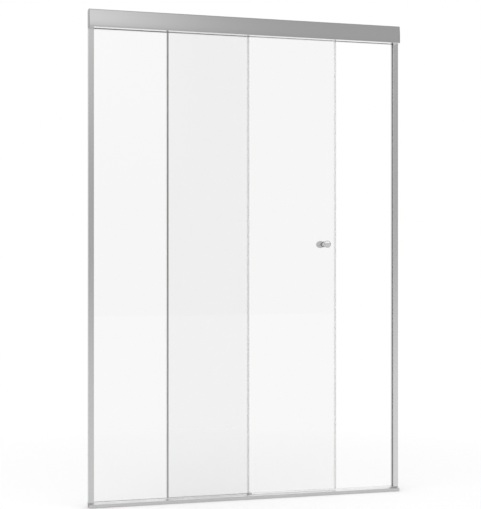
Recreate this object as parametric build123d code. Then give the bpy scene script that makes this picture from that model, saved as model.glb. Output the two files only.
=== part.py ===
from build123d import *
import os
from math import cos, radians, sin

# A sliding shower screen that fills the gap between two walls: a header and a sill joined by two wall
# jambs, a fixed glass panel on the left, and a glass door that hangs from two rollers in the header and
# slides across in front of the fixed panel.
# X runs along the screen, with the open doorway on the right. -Y is the bathroom side, +Y the shower
# side, and Y = 0 is midway between the two panes. Z = 0 is the underside of the sill. Sizes are in mm.

# Overall sizes and how the width is shared
overall_width = 1200.0
overall_height = 1800.0
fixed_edge_x = 4.0
door_overlap = 74.0
door_bite = 6.0
door_ajar = 240.0
knob_room = 28.0

# Glass
glass = 6.0
pane_gap = 6.0
arris = 0.4
fixed_bite = 10.0
sill_bite = 8.0
door_sill_gap = 4.0

# Extruded frame
wall = 1.6
jamb_width = 20.0
jamb_web = 2.0
sill_height = 16.5
sill_face = 12.0
sill_nose = 13.0
groove_floor = 5.0
edge_radius = 0.8
flute_wall = 1.45
infill_wall = 1.4
infill_leg = 6.0
fixing_hole = 2.5
fixing_inset = 170.0

# Header, from its underside up to the roller ledge and the glazing pocket
ledge_height = 15.0
ledge = 2.0
bead_radius = 1.8
header_pocket = 22.0
fixed_lift_room = 8.5
fascia_wall = 1.4
fascia_standoff = 6.0
fascia_bow = 1.3
fascia_skirt = 9.0
fascia_lip = 1.4
fascia_tuck = 6.0
fascia_brow = 3.0
cap_wall = 2.0
cap_foot = 3.0

# Rollers and their bearings
groove_radius = 10.5
rim_depth = 1.6
roller_width = 7.4
bead_gap = 0.3
axle_radius = 3.0
axle_shoulder = 3.9
axle_head = 4.6
axle_head_thick = 1.6
bearing_width = 5.0
bearing_inner = 4.4
bearing_race = 6.0
bearing_outer = 7.5
bearing_shield = 0.7
ball_count = 8
ball_radius = 0.7

# Hangers
hanger_inset = 90.0
plate_thick = 2.5
plate_width = 72.0
plate_above_bolt = 10.0
plate_below_ledge = 9.0
plate_corner = 4.0
hanger_gasket = 0.8
bolt_radius = 3.0
bolt_head = 5.2
bolt_head_thick = 3.0
bolt_socket = 2.5
bolt_pitch = 52.0
bolt_above_axle = 7.4
bolt_adjust = 3.0
glass_above_bolt = 18.0
lift_room = 7.0
washer_radius = 7.0
washer_thick = 1.2
bush_radius = 5.0
nut_radius = 5.0
nut_flange = 8.0
nut_flange_thick = 1.4
nut_length = 6.4
nut_cap = 1.6
jump_width = 18.0
jump_gap = 1.0
jump_height = 6.2
jump_depth = 7.2

# Knobs
knob_inset = 50.0
knob_height = 955.0
knob_length = 46.0
knob_radius = 13.5
knob_head = 14.0
knob_rose = 11.0
knob_rose_thick = 2.5
knob_neck = 7.4
knob_dish = 0.6
knob_gasket = 0.8
knob_bush = 6.0
stud_radius = 3.0
stud_depth = 15.0

# Seals, guide, stops and strike
gasket_base = 1.5
gasket_leg = 1.4
gasket_proud = 0.4
trailing_leg = 4.4
trailing_wall = 1.2
fin_thick = 0.8
fin_gap = 0.6
edge_seal_wall = 0.9
edge_seal_leg = 7.0
strike_grip = 2.3
guide_length = 18.0
guide_base = 2.5
guide_finger = 2.5
guide_finger_length = 8.0
guide_reach = 7.0
guide_gap = 0.5
stop_length = 18.0
buffer_thick = 6.0
stop_gap = 0.6

# Clearances and screws
running_gap = 0.05
slip = 0.1
clear = 0.8
hang_clear = 1.4
screw_radius = 1.5
screw_head = 3.5
screw_head_thick = 2.2
screw_bite = 12.0
grub_radius = 1.25

# The panes and the depth of the frame around them
door_y = -(pane_gap + glass) / 2
fixed_y = (pane_gap + glass) / 2
door_front = door_y - glass / 2
door_back = door_y + glass / 2
fixed_front = fixed_y - glass / 2
fixed_back = fixed_y + glass / 2
pocket_back = fixed_back + gasket_leg
half_depth = pocket_back + wall
mullion = wall / 2

# Places along the width
half_width = overall_width / 2
jamb_mouth = half_width - jamb_width
fixed_left_x = -jamb_mouth - fixed_bite
door_shut_x = jamb_mouth + door_bite
door_width = door_shut_x - fixed_edge_x + door_overlap
door_right_x = door_shut_x - door_ajar
door_left_x = door_right_x - door_width
hanger_xs = [door_left_x + hanger_inset, door_right_x - hanger_inset]
bolt_xs = [x + side * bolt_pitch / 2 for x in hanger_xs for side in (-1, 1)]
knob_x = door_right_x - knob_inset
open_travel = knob_x - fixed_edge_x - knob_room

# The stack inside the header: ledge, roller, hanger bolts, the top of the door, the top of the rail
roller_stack = ledge_height + ledge + bead_radius + bead_gap + groove_radius
header_height = roller_stack + bolt_above_axle + glass_above_bolt + lift_room + wall + fascia_lip
header_z = overall_height - header_height
ledge_z = header_z + ledge_height + ledge
axle_z = header_z + roller_stack
bolt_z = axle_z + bolt_above_axle
door_top = bolt_z + glass_above_bolt
rail_top = overall_height - fascia_lip
rim_radius = groove_radius + rim_depth
jump_z = header_z + ledge_height - jump_gap - jump_height / 2

# The stack from the door's face out to the fascia
plate_back = door_front - hanger_gasket
plate_front = plate_back - plate_thick
roller_back = plate_front - hang_clear
track_y = roller_back - roller_width / 2
roller_front = roller_back - roller_width
rail_front = roller_front - axle_head_thick - hang_clear - wall
fascia_front = rail_front - fascia_standoff
ledge_tip = plate_front - clear
return_tip = door_front - clear

# Top and bottom of what stands in the frame
door_bottom = sill_height + door_sill_gap
fixed_bottom = sill_height - sill_bite
fixed_top = header_z + header_pocket - fixed_lift_room - gasket_base
guide_tip = door_bottom + guide_reach

# The screw flutes: one up each jamb, and two along the header
flute_bore = screw_radius + running_gap
flute_outer = flute_bore + flute_wall
jamb_flute_x = half_width - jamb_web - flute_outer - clear
jamb_flute_y = -(mullion + pocket_back) / 2
flute_sink = edge_radius / 2
header_flute_z = rail_top - wall - flute_outer + flute_sink
header_flute_ys = (rail_front + wall + flute_outer - flute_sink, pocket_back - flute_outer + flute_sink)


def rect(u0, u1, v0, v1):
    """A rectangle between two corners."""
    return Pos((u0 + u1) / 2, (v0 + v1) / 2) * Rectangle(abs(u1 - u0), abs(v1 - v0))


def disc(u, v, radius):
    return Pos(u, v) * Circle(radius)


def along_x(section, x0, x1):
    """A section drawn in (Y, Z), carried from x0 to x1."""
    return extrude(Plane.YZ.offset(x0) * section, amount=x1 - x0)


def along_y(section, y0, y1):
    """A section drawn in (X, Z), carried from y0 to y1."""
    return extrude(Plane.XZ.offset(-y1) * section, amount=y1 - y0)


def along_z(section, z0, z1):
    """A section drawn in (X, Y), carried from z0 to z1."""
    return extrude(Plane.XY.offset(z0) * section, amount=z1 - z0)


def block(x0, x1, y0, y1, z0, z1):
    return along_z(rect(x0, x1, y0, y1), z0, z1)


def mirrored(part):
    """The other hand of a piece, at the other end of the screen."""
    return mirror(part, Plane.YZ)


def laid_down(section):
    """An upright member's section with its two directions swapped, for a member that lies along X."""
    return Rot(0, 0, 90) * mirror(section, Plane.XZ)


def rounded(section, points, radius):
    """The section with the corners nearest to the points rounded."""
    corners = [section.vertices().sort_by_distance((*point, 0))[0] for point in points]
    return fillet(corners, radius)


def countersunk_screw(length, head_thick):
    """A screw that points down, with the flat face of its head at the origin."""
    head = Pos(0, 0, -head_thick / 2) * Cone(screw_radius, screw_head, head_thick)
    shank = Pos(0, 0, -length / 2) * Cylinder(screw_radius, length)
    recess = along_z(RegularPolygon(screw_radius - slip, 6), -head_thick / 2, clear)
    return head + shank - recess


def pan_screw(length):
    """A screw that points down, with the seat of its head at the origin."""
    head = Pos(0, 0, screw_head_thick / 2) * Cylinder(screw_head, screw_head_thick)
    head = fillet(head.edges().filter_by(GeomType.CIRCLE).sort_by(Axis.Z)[-1], edge_radius)
    recess = along_z(RegularPolygon(screw_radius - slip, 6), screw_head_thick / 2, screw_head_thick + clear)
    return head - recess + Pos(0, 0, -length / 2) * Cylinder(screw_radius, length)


# Jambs


def jamb_section():
    """The right jamb in (X, Y): a wall web, two flanges, a mullion between the pockets, and a flute."""
    section = rect(half_width - jamb_web, half_width, -half_depth, half_depth)
    section += rect(jamb_mouth, half_width, -half_depth, -pocket_back)
    section += rect(jamb_mouth, half_width, pocket_back, half_depth)
    section += rect(jamb_mouth, half_width, -mullion, mullion)
    section += disc(jamb_flute_x, jamb_flute_y, flute_outer)
    section += rect(jamb_flute_x, half_width, jamb_flute_y - mullion, jamb_flute_y + mullion)
    section = rounded(section, [(jamb_mouth, -half_depth), (jamb_mouth, half_depth)], edge_radius)
    return section - disc(jamb_flute_x, jamb_flute_y, flute_bore)


def wall_jamb_right():
    """The jamb's web has four wall-fixing holes in a row, in the pocket on the shower side."""
    jamb = along_z(jamb_section(), sill_height, header_z)
    spacing = (header_z - sill_height - 2 * fixing_inset) / 3
    for i in range(4):
        hole = disc(fixed_y, sill_height + fixing_inset + i * spacing, fixing_hole)
        jamb -= along_x(hole, half_width - jamb_web - clear, half_width + clear)
    return jamb


def infill_section(mouth, inward):
    """A push-in cover for an empty glass-side pocket, in (pocket depth, Y)."""
    low = mullion + slip
    high = pocket_back - slip
    section = rect(mouth, mouth + inward * infill_wall, low, high)
    section += rect(mouth, mouth + inward * infill_leg, low, low + infill_wall)
    return section + rect(mouth, mouth + inward * infill_leg, high - infill_wall, high)


def jamb_infill_right():
    return along_z(infill_section(jamb_mouth, 1), sill_height, header_z)


def jamb_infill_left():
    """The left jamb's empty pocket is on the door's side."""
    return mirrored(mirror(jamb_infill_right(), Plane.XZ))


# Sill


def sill_outline():
    """The sill in (Y, Z): an upright face, a sloped nose, a flat top and a glazing groove."""
    nose = -half_depth - sill_nose
    points = [(nose, 0), (nose, sill_face), (-half_depth, sill_height), (mullion, sill_height)]
    points += [(mullion, groove_floor), (pocket_back, groove_floor), (pocket_back, sill_height)]
    points += [(half_depth, sill_height), (half_depth, 0)]
    section = make_face(Polyline(points, close=True))
    return rounded(section, [(nose, sill_face), (half_depth, sill_height)], edge_radius)


def sill_chamber(gap):
    """The hollow under the sill's slope and flat top, drawn in by a gap all round."""
    nose = -half_depth - sill_nose + wall + gap
    top = sill_height - wall - gap
    low = wall + gap
    back = -mullion - gap
    points = [(back, low), (nose, low), (nose, sill_face - wall - gap), (-half_depth, top), (back, top)]
    return make_face(Polyline(points, close=True))


def guide_screw_xs():
    reach = guide_length / 2 - screw_head
    return [fixed_edge_x - reach, fixed_edge_x + reach]


def sill_rail():
    """The sill has a hole for each jamb screw, with room below for its head, and two for the guide."""
    section = sill_outline() - sill_chamber(0) - rect(mullion, pocket_back, wall, groove_floor - wall)
    sill = along_x(section, -half_width, half_width)
    for x in (-jamb_flute_x, jamb_flute_x):
        sill -= along_z(disc(x, jamb_flute_y, screw_radius + slip), -clear, sill_height + clear)
        sill -= along_z(disc(x, jamb_flute_y, screw_head + clear), -clear, wall + clear)
    for x in guide_screw_xs():
        sill -= along_z(disc(x, door_y, screw_radius), wall + clear, sill_height + clear)
    return sill


def sill_end_plugs():
    plug = along_x(sill_chamber(slip), half_width - cap_wall, half_width)
    return [plug, mirrored(plug)]


def sill_infill_strip():
    section = laid_down(infill_section(sill_height, -1))
    return along_x(section, fixed_edge_x + 2 * edge_seal_wall, jamb_mouth - clear)


def jamb_foot_screws():
    screw = Rot(180, 0, 0) * pan_screw(wall + screw_bite)
    screw = Pos(jamb_flute_x, jamb_flute_y, sill_height - wall) * screw
    return [screw, mirrored(screw)]


# Header


def fascia_curve(inset, z_top):
    """The bowed front of the header in (Y, Z), from its skirt up, set back by an inset."""
    y_low = fascia_front + inset
    y_top = rail_front - fascia_wall - 2 * slip + inset
    z_low = header_z + fascia_skirt
    middle = ((y_low + y_top) / 2 - fascia_bow, (z_low + z_top) / 2)
    return ThreePointArc((y_low, z_low), middle, (y_top, z_top))


def browed(section):
    """The header's section in (Y, Z) with the top edge of its front rounded."""
    top = fascia_curve(0, overall_height) @ 1
    return rounded(section, [(top.X, top.Y)], min(fascia_brow, fascia_wall + fascia_lip))


def header_outline():
    """The whole outside of the header in (Y, Z)."""
    front = fascia_curve(0, overall_height)
    sides = Polyline(front @ 1, (half_depth, overall_height), (half_depth, header_z),
                     (fascia_front, header_z), front @ 0)
    section = make_face([*front.edges(), *sides.edges()])
    section = rounded(section, [(half_depth, overall_height), (fascia_front, header_z)], edge_radius)
    return browed(section)


def header_fascia():
    """A bowed cover with a lip over the rail, a return below that runs back to the door, and two ribs."""
    front = fascia_curve(0, overall_height)
    back = fascia_curve(fascia_wall, rail_top)
    lip_tip = rail_front + fascia_tuck
    shelf = header_z + fascia_wall
    top = Polyline(front @ 1, (lip_tip, overall_height), (lip_tip, rail_top), back @ 1)
    base = Polyline(back @ 0, (fascia_front + fascia_wall, shelf), (return_tip, shelf),
                    (return_tip, header_z), (fascia_front, header_z), front @ 0)
    section = make_face([*front.edges(), *top.edges(), *back.edges(), *base.edges()])
    section = browed(rounded(section, [(fascia_front, header_z)], edge_radius))
    for along in (0.0, 0.5):
        start = front @ along
        section += rect(start.X + fascia_wall / 2, rail_front, start.Y, start.Y + fascia_wall)
    return along_x(section, -half_width + cap_wall, half_width - cap_wall)


def header_rail():
    """The rail in (Y, Z): the roller ledge with its bead in front, and the glazing pocket behind."""
    low = header_z + fascia_wall
    shelf = header_z + header_pocket
    section = rect(rail_front, half_depth, rail_top - wall, rail_top)
    section += rect(rail_front, rail_front + wall, low, rail_top)
    section += rect(rail_front, ledge_tip, low, low + wall)
    section += rect(rail_front, ledge_tip, ledge_z - ledge, ledge_z)
    bead = disc(track_y, ledge_z, bead_radius)
    section += bead & rect(rail_front, ledge_tip, ledge_z - ledge / 2, ledge_z + bead_radius)
    section += rect(pocket_back, half_depth, header_z, rail_top)
    section += rect(-mullion, mullion, header_z, shelf + wall)
    section += rect(-mullion, half_depth, shelf, shelf + wall)
    for y in header_flute_ys:
        section += disc(y, header_flute_z, flute_outer)
    section = rounded(section, [(half_depth, rail_top), (half_depth, header_z)], edge_radius)
    for y in header_flute_ys:
        section -= disc(y, header_flute_z, flute_bore)
    return along_x(section, -half_width + cap_wall, half_width - cap_wall)


def header_infill_strip():
    section = laid_down(infill_section(header_z, 1))
    return along_x(section, fixed_edge_x + 2 * edge_seal_wall, jamb_mouth - clear)


def end_cap_place(y):
    """Where a cap screw's head lies in the outer face of the right cap, pointing inwards."""
    return Pos(half_width, y, header_flute_z) * Rot(0, 90, 0)


def header_end_cap_right():
    """A cast plate that closes the header, with a foot on the jamb and a spigot under the rail's top."""
    inner = half_width - cap_wall
    foot_x = jamb_flute_x - screw_head - 2 * clear
    foot_front = return_tip + slip
    spigot_top = rail_top - wall - slip
    spigot_low = spigot_top - cap_foot
    cap = along_x(header_outline(), inner, half_width)
    cap += block(foot_x, inner, foot_front, -mullion - slip, header_z, header_z + cap_foot)
    cap += block(foot_x, inner, door_front, door_front + 2 * glass, spigot_low, spigot_top)
    cap -= along_z(disc(jamb_flute_x, jamb_flute_y, screw_radius + slip), header_z, header_z + cap_foot)
    for y in header_flute_ys:
        cap -= end_cap_place(y) * Pos(0, 0, -cap_wall / 2) * Cone(screw_radius, screw_head, cap_wall)
    return cap


def end_cap_screws():
    screw = countersunk_screw(cap_wall + screw_bite, cap_wall)
    right = [end_cap_place(y) * screw for y in header_flute_ys]
    return right + [mirrored(each) for each in right]


def jamb_head_screws():
    screw = Pos(jamb_flute_x, jamb_flute_y, header_z + cap_foot) * pan_screw(cap_foot + screw_bite)
    return [screw, mirrored(screw)]


# Fixed glass and what holds it


def fixed_glass():
    pane = block(fixed_left_x, fixed_edge_x, fixed_front, fixed_back, fixed_bottom, fixed_top)
    return chamfer(pane.edges(), arris)


def gasket_section(edge, mouth):
    """A glazing gasket in (pocket depth, Y): a base outside the glass's edge and two uneven legs."""
    outward = 1 if edge > mouth else -1
    section = rect(edge, edge + outward * gasket_base, mullion, pocket_back)
    section += rect(edge, mouth, mullion, fixed_front)
    return section + rect(edge, mouth, fixed_back, pocket_back)


def fixed_gasket_jamb():
    return along_z(gasket_section(fixed_left_x, -jamb_mouth + gasket_proud), sill_height, header_z)


def fixed_gasket_head():
    section = laid_down(gasket_section(fixed_top, header_z - gasket_proud))
    return along_x(section, -jamb_mouth + gasket_proud, fixed_edge_x)


def fixed_gasket_sill():
    section = laid_down(gasket_section(fixed_bottom, sill_height + gasket_proud))
    return along_x(section, -jamb_mouth + gasket_proud, fixed_edge_x)


def fixed_setting_blocks():
    """Two pads in the sill's groove, each a quarter of the pane's width in from its edge."""
    quarter = (fixed_edge_x - fixed_left_x) / 4
    blocks = []
    for x in (fixed_left_x + quarter, fixed_edge_x - quarter):
        blocks.append(block(x - jamb_width, x + jamb_width, mullion + slip, pocket_back - slip,
                            groove_floor, fixed_bottom - gasket_base))
    return blocks


def edge_channel(edge, outward, front, back, leg, thickness):
    """A channel section in (X, Y) pushed on to the upright edge of a pane."""
    section = rect(edge - outward * leg, edge + outward * thickness, front - thickness, back + thickness)
    section = fillet(section.vertices(), thickness / 3)
    return section - rect(edge - outward * leg, edge, front, back)


def fixed_edge_seal():
    """A clear channel on the free edge, with a fin above the guide that reaches almost to the door."""
    section = edge_channel(fixed_edge_x, 1, fixed_front, fixed_back, edge_seal_leg, edge_seal_wall)
    high = header_z - 2 * gasket_proud
    root = fixed_front - edge_seal_wall / 3
    fin = rect(fixed_edge_x - fin_thick, fixed_edge_x, door_back + fin_gap, root)
    seal = along_z(section, sill_height + 2 * gasket_proud, high)
    return seal + along_z(fin, guide_tip + fin_gap, high)


# Guide, strike and stops


def guide_block():
    """Two low fingers that keep the foot of the door upright, on a base screwed to the sill."""
    front = door_front - guide_gap - guide_finger
    back = door_back + guide_gap + guide_finger
    top = sill_height + guide_base
    tip = guide_tip - fin_gap
    half = guide_finger_length / 2
    guide = block(fixed_edge_x - guide_length / 2, fixed_edge_x + guide_length / 2, front, back,
                  sill_height, top)
    finger = rect(fixed_edge_x - half, fixed_edge_x + half, sill_height, tip)
    finger = rounded(finger, [(fixed_edge_x - half, tip), (fixed_edge_x + half, tip)], 3 * edge_radius)
    guide += along_y(finger, front, front + guide_finger)
    guide += along_y(finger, back - guide_finger, back)
    for x in guide_screw_xs():
        guide -= Pos(x, door_y, top - screw_head_thick / 2) * Cone(screw_radius, screw_head, screw_head_thick)
        guide -= along_z(disc(x, door_y, screw_radius), sill_height, top)
    return guide


def guide_block_screws():
    screw = countersunk_screw(guide_base + screw_bite / 2, screw_head_thick)
    return [Pos(x, door_y, sill_height + guide_base) * screw for x in guide_screw_xs()]


def strike_seal():
    """A rubber strip that pushes over the flute in the right jamb, for the door to close against."""
    face = door_shut_x + edge_seal_wall + stop_gap
    back = jamb_flute_x + strike_grip
    bore = flute_outer + slip
    strip = rect(face, back, -pocket_back + slip, -mullion - slip)
    strip -= disc(jamb_flute_x, jamb_flute_y, bore)
    strip -= rect(jamb_flute_x, back, jamb_flute_y - bore, jamb_flute_y + bore)
    return along_z(strip, sill_height, header_z)


def stop_section():
    """A track stop in (Y, Z), grooved to sit over the bead and low enough to pass under the bolts."""
    section = rect(rail_front + wall + slip, ledge_tip, ledge_z, bolt_z - washer_radius - clear)
    return section - disc(track_y, ledge_z, bead_radius + slip)


def stop_faces():
    """The face of each stop's buffer, just past a roller's rim at the end of its travel."""
    left = hanger_xs[0] - open_travel - rim_radius - stop_gap
    right = hanger_xs[1] + door_ajar + rim_radius + stop_gap
    return [(left, -1), (right, 1)]


def stop_piece(x, direction, start, end):
    """A length of the stop's section that lies from start to end beyond x."""
    return along_x(stop_section(), *sorted((x + direction * start, x + direction * end)))


def grub_place(x, direction):
    middle = (rail_front + wall + track_y - bead_radius) / 2
    return Pos(x + direction * (buffer_thick + stop_length / 2), middle, ledge_z)


def track_stop(x, direction):
    stop = stop_piece(x, direction, buffer_thick, buffer_thick + stop_length)
    return stop - grub_place(x, direction) * Cylinder(grub_radius, 4 * stop_length)


def track_stop_buffers():
    return [stop_piece(x, direction, 0, buffer_thick) for x, direction in stop_faces()]


def track_stop_screws():
    """Grub screws that clamp the stops to the ledge."""
    length = bolt_z - washer_radius - clear - ledge_z - clear
    grub = along_z(Circle(grub_radius), 0, length)
    grub -= along_z(RegularPolygon(grub_radius / 2, 6), length - 2 * clear, length + clear)
    return [grub_place(x, direction) * grub for x, direction in stop_faces()]


# Door


def door_glass():
    pane = block(door_left_x, door_right_x, door_front, door_back, door_bottom, door_top)
    pane = chamfer(pane.edges(), arris)
    for x in bolt_xs:
        pane -= along_y(disc(x, bolt_z, bush_radius + slip), door_front - clear, door_back + clear)
    return pane - along_y(disc(knob_x, knob_height, knob_bush + slip), door_front - clear, door_back + clear)


def door_trailing_profile():
    section = edge_channel(door_left_x, -1, door_front, door_back, trailing_leg, trailing_wall)
    return along_z(section, door_bottom, header_z - clear)


def door_overlap_seal():
    """A fin stuck behind the trailing profile, which closes the gap to the fixed pane."""
    seat = door_back + trailing_wall
    pad = rect(door_left_x - trailing_wall / 2, door_left_x + trailing_leg - trailing_wall, seat,
               seat + fin_thick)
    fin = rect(door_left_x, door_left_x + fin_thick, seat, fixed_front - fin_gap)
    return along_z(pad + fin, door_bottom, header_z - 2 * clear)


def door_leading_seal():
    section = edge_channel(door_right_x, 1, door_front, door_back, edge_seal_leg, edge_seal_wall)
    return along_z(section, door_bottom, header_z - 2 * clear)


# Hangers


def plate_outline(x):
    outline = rect(x - plate_width / 2, x + plate_width / 2, header_z + ledge_height - plate_below_ledge,
                   bolt_z + plate_above_bolt)
    return fillet(outline.vertices(), plate_corner)


def own_bolts(x):
    return [x - bolt_pitch / 2, x + bolt_pitch / 2]


def hanger_plate(x):
    """A flat plate with upright slots, so that the door can be set level on its bolts."""
    plate = plate_outline(x) - disc(x, axle_z, axle_radius) - disc(x, jump_z, screw_radius)
    width = 2 * (bolt_radius + slip)
    for bolt_x in own_bolts(x):
        plate -= Pos(bolt_x, bolt_z) * Rot(0, 0, 90) * SlotOverall(width + 2 * bolt_adjust, width)
    return along_y(plate, plate_front, plate_back)


def hanger_gasket_pad(x):
    pad = plate_outline(x)
    for bolt_x in own_bolts(x):
        pad -= disc(bolt_x, bolt_z, bolt_radius + slip)
    return along_y(pad, plate_back, door_front)


def bolt_rings(outer, y0, y1):
    """A ring round each hanger bolt."""
    rings = [disc(x, bolt_z, outer) - disc(x, bolt_z, bolt_radius + slip) for x in bolt_xs]
    return [along_y(ring, y0, y1) for ring in rings]


def hanger_bolt(x):
    seat = plate_front - washer_thick
    head = along_y(disc(x, bolt_z, bolt_head), seat - bolt_head_thick, seat)
    head = fillet(head.edges().filter_by(GeomType.CIRCLE).sort_by(Axis.Y)[0], edge_radius)
    socket = Pos(x, bolt_z) * RegularPolygon(bolt_socket, 6)
    head -= along_y(socket, seat - bolt_head_thick - clear, seat - bolt_head_thick / 2)
    return head + along_y(disc(x, bolt_z, bolt_radius), seat, door_back + nut_length - nut_cap)


def hanger_nut(x):
    """A flanged cap nut on the shower side of the glass, inside the header."""
    end = door_back + nut_length
    nut = along_y(disc(x, bolt_z, nut_radius), door_back, end)
    nut = fillet(nut.edges().filter_by(GeomType.CIRCLE).sort_by(Axis.Y)[-1], edge_radius)
    nut += along_y(disc(x, bolt_z, nut_flange), door_back, door_back + nut_flange_thick)
    return nut - along_y(disc(x, bolt_z, bolt_radius + running_gap), door_back, end - nut_cap)


def anti_jump_block(x):
    """A nylon block just under the ledge, which keeps the roller from climbing off the bead."""
    outline = rect(x - jump_width / 2, x + jump_width / 2, jump_z - jump_height / 2, jump_z + jump_height / 2)
    outline = fillet(outline.vertices(), edge_radius) - disc(x, jump_z, screw_radius + slip)
    return along_y(outline, plate_front - jump_depth, plate_front)


def anti_jump_screw(x):
    seat = plate_front - jump_depth
    socket = Pos(x, jump_z) * RegularPolygon(screw_radius - slip, 6)
    head = along_y(disc(x, jump_z, jump_height / 2 - slip), seat - screw_radius, seat)
    head -= along_y(socket, seat - 2 * screw_radius, seat - clear)
    return head + along_y(disc(x, jump_z, screw_radius), seat, plate_back)


# Rollers


def axle_ring(x, inner, outer, y0, y1):
    return along_y(disc(x, axle_z, outer) - disc(x, axle_z, inner), y0, y1)


def roller_axle(x):
    """A riveted axle: a head in front, a shoulder against the bearing and a shank into the plate."""
    bearing_front = track_y - bearing_width / 2
    axle = along_y(disc(x, axle_z, axle_head), roller_front - axle_head_thick, roller_front)
    axle += along_y(disc(x, axle_z, axle_shoulder), roller_front, bearing_front)
    return axle + along_y(disc(x, axle_z, axle_radius), bearing_front, plate_back)


def axle_spacer(x):
    return axle_ring(x, axle_radius + running_gap, axle_shoulder, track_y + bearing_width / 2, plate_front)


def bearing_inner_ring(x):
    half = bearing_width / 2
    return axle_ring(x, axle_radius + running_gap, bearing_inner, track_y - half, track_y + half)


def bearing_outer_ring(x):
    """The outer race, with a shield at each side that runs close to the inner ring."""
    half = bearing_width / 2
    shield = bearing_inner + running_gap
    race = axle_ring(x, bearing_race, bearing_outer, track_y - half, track_y + half)
    race += axle_ring(x, shield, bearing_outer, track_y - half, track_y - half + bearing_shield)
    return race + axle_ring(x, shield, bearing_outer, track_y + half - bearing_shield, track_y + half)


def bearing_balls(x):
    """Balls that sit against the outer race."""
    pitch = bearing_race - ball_radius
    balls = []
    for i in range(ball_count):
        turn = radians(360 * i / ball_count)
        balls.append(Pos(x + pitch * cos(turn), track_y, axle_z + pitch * sin(turn)) * Sphere(ball_radius))
    return balls


def roller_tyre(x):
    """A nylon wheel with a round groove that is a little wider than the bead it runs on."""
    half = roller_width / 2
    groove = bead_radius + bead_gap
    profile = rect(bearing_outer, rim_radius, -half, half)
    profile = rounded(profile, [(rim_radius, -half), (rim_radius, half)], edge_radius)
    profile -= disc(groove_radius + groove, 0, groove)
    return Pos(x, track_y, axle_z) * revolve(profile, Axis.Y)


# Knobs


def knob_profile():
    """Half of a knob in (radius, distance from its seat): rose, waisted neck and dished head."""
    head = knob_length - knob_head
    lip = knob_radius - 2 * edge_radius
    neck = ThreePointArc((knob_rose - 2 * edge_radius, knob_rose_thick),
                         (knob_neck, (head + knob_rose_thick) / 2), (lip, head))
    rim = Polyline(neck @ 1, (knob_radius, head + edge_radius), (knob_radius, knob_length),
                   (lip, knob_length))
    face = TangentArc((0, knob_length - knob_dish), (lip, knob_length), tangent=(1, 0))
    seat = Polyline(face @ 0, (0, 0), (knob_rose, 0), (knob_rose, knob_rose_thick), neck @ 0)
    profile = make_face([*neck.edges(), *rim.edges(), *face.edges(), *seat.edges()])
    return rounded(profile, [(knob_radius, knob_length), (knob_rose, knob_rose_thick)], edge_radius)


def knob_outer():
    """The knob on the bathroom side, drilled for the stud."""
    seat = door_front - knob_gasket
    knob = Pos(knob_x, seat, knob_height) * Rot(180, 0, 0) * revolve(knob_profile(), Axis.Y)
    return knob - along_y(disc(knob_x, knob_height, stud_radius + running_gap), seat - stud_depth, seat)


def knob_inner():
    return mirror(knob_outer(), Plane.XZ.offset(-door_y))


def knob_stud():
    reach = knob_gasket + stud_depth - clear
    return along_y(disc(knob_x, knob_height, stud_radius), door_front - reach, door_back + reach)


def knob_ring(outer, y0, y1):
    """A ring round the knobs' stud."""
    return along_y(disc(knob_x, knob_height, outer) - disc(knob_x, knob_height, stud_radius + slip), y0, y1)


left_hanger, right_hanger = hanger_xs
left_stop, right_stop = stop_faces()

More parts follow.
